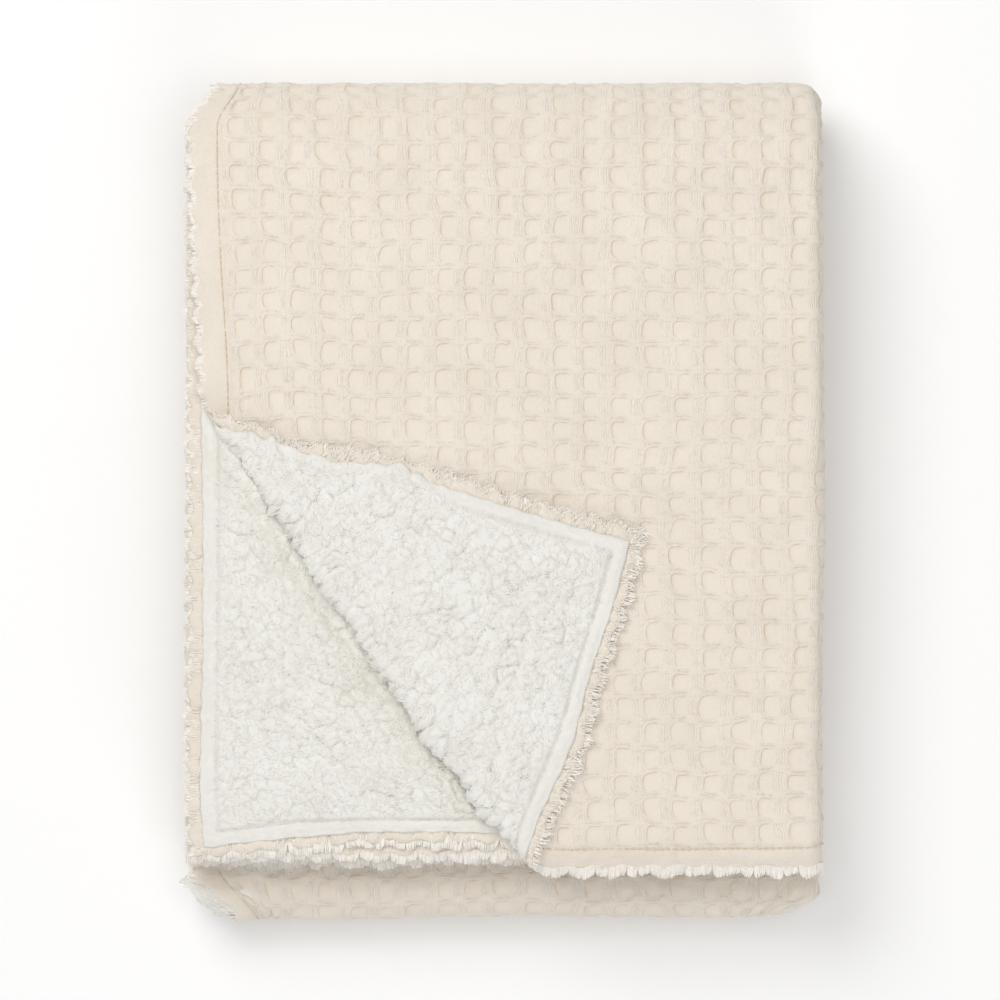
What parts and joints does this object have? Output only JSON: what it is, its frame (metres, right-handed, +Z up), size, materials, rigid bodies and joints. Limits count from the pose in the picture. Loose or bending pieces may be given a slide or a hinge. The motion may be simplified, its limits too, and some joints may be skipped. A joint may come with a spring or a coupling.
{
  "type": "folded throw blanket",
  "caption": "Double-faced throw, waffle-woven cotton lined with sherpa, folded into a rectangular stack with one top corner turned back and a short fringe at its edges.",
  "frame": {"origin": "on the ground, under the middle of the folded throw's bounding box", "axes": "+X across the folded width, away from the open side edges; +Y along the folded length, from the hem to the back fold; +Z up"},
  "size_m": [0.33, 0.4354, 0.0847],
  "materials": {
    "waffle_face": "matte waffle-woven cotton",
    "sherpa_lining": "matte looped sherpa fleece",
    "fringe_yarn": "matte cut cotton yarn ends",
    "needle_thread": "matte sewing thread",
    "bobbin_thread": "matte sewing thread"
  },
  "bodies": {
    "lower_pack": {"face_cloth_lower": "waffle_face", "lining_lower": "sherpa_lining", "side_fringe_lower": "fringe_yarn", "needle_thread_lower": "needle_thread", "bobbin_thread_lower": "bobbin_thread", "face_cloth_back_fold": "waffle_face", "lining_back_fold": "sherpa_lining", "side_fringe_back_fold": "fringe_yarn", "needle_thread_back_fold": "needle_thread", "bobbin_thread_back_fold": "bobbin_thread"},
    "upper_pack": {"face_cloth_upper": "waffle_face", "lining_upper": "sherpa_lining", "side_fringe_upper": "fringe_yarn", "first_end_fringe": "fringe_yarn", "last_end_fringe": "fringe_yarn", "needle_thread_upper": "needle_thread", "bobbin_thread_upper": "bobbin_thread", "face_cloth_crease": "waffle_face", "lining_crease": "sherpa_lining"},
    "turned_corner": {"face_cloth_corner": "waffle_face", "lining_corner": "sherpa_lining", "corner_side_fringe": "fringe_yarn", "corner_end_fringe": "fringe_yarn", "needle_thread_corner": "needle_thread", "bobbin_thread_corner": "bobbin_thread"}
  },
  "joints": [
    {"name": "unfold", "type": "hinge", "parent": "lower_pack", "child": "upper_pack", "pos_m": [0, 0.17789, 0.03985], "axis": [-1, 0, 0], "range_deg": [0, 177], "deforming": ["face_cloth_back_fold", "lining_back_fold", "side_fringe_back_fold", "needle_thread_back_fold", "bobbin_thread_back_fold"]},
    {"name": "corner_turn", "type": "hinge", "parent": "upper_pack", "child": "turned_corner", "pos_m": [-0.16002, 0.04971, 0.07985], "axis": [0.6, -0.8, 0], "range_deg": [0, 179], "deforming": ["face_cloth_crease", "lining_crease"]}
  ]
}
